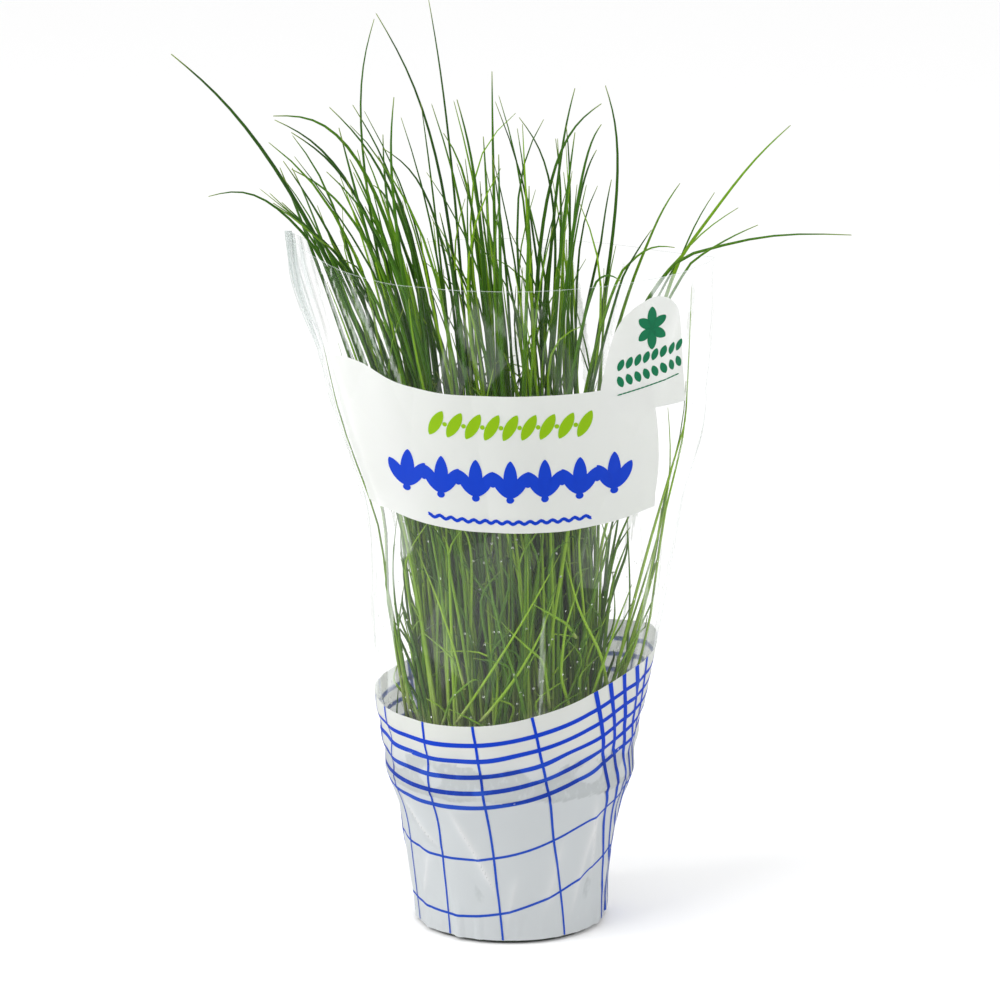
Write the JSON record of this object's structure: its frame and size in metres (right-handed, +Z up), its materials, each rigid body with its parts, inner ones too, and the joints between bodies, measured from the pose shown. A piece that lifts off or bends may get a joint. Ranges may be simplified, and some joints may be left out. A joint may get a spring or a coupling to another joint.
{
  "type": "potted chive bunch in a sleeve",
  "caption": "Dense bunch of living chives in a small tapered nursery pot, wrapped in a flared clear film sleeve with a printed check band, standing upright.",
  "frame": {"origin": "middle of the pot's flat underside, on the surface it stands on", "axes": "+Z up along the pot's axis, -Y towards the front of the sleeve, +X to the viewer's right"},
  "size_m": [0.2942, 0.1528, 0.4132],
  "materials": {
    "pot": "satin",
    "soil": "matte",
    "chives": "satin",
    "sleeve": "gloss"
  },
  "bodies": {
    "root": {"pot": "pot", "soil": "soil", "chives": "chives", "sleeve": "sleeve"}
  },
  "joints": []
}
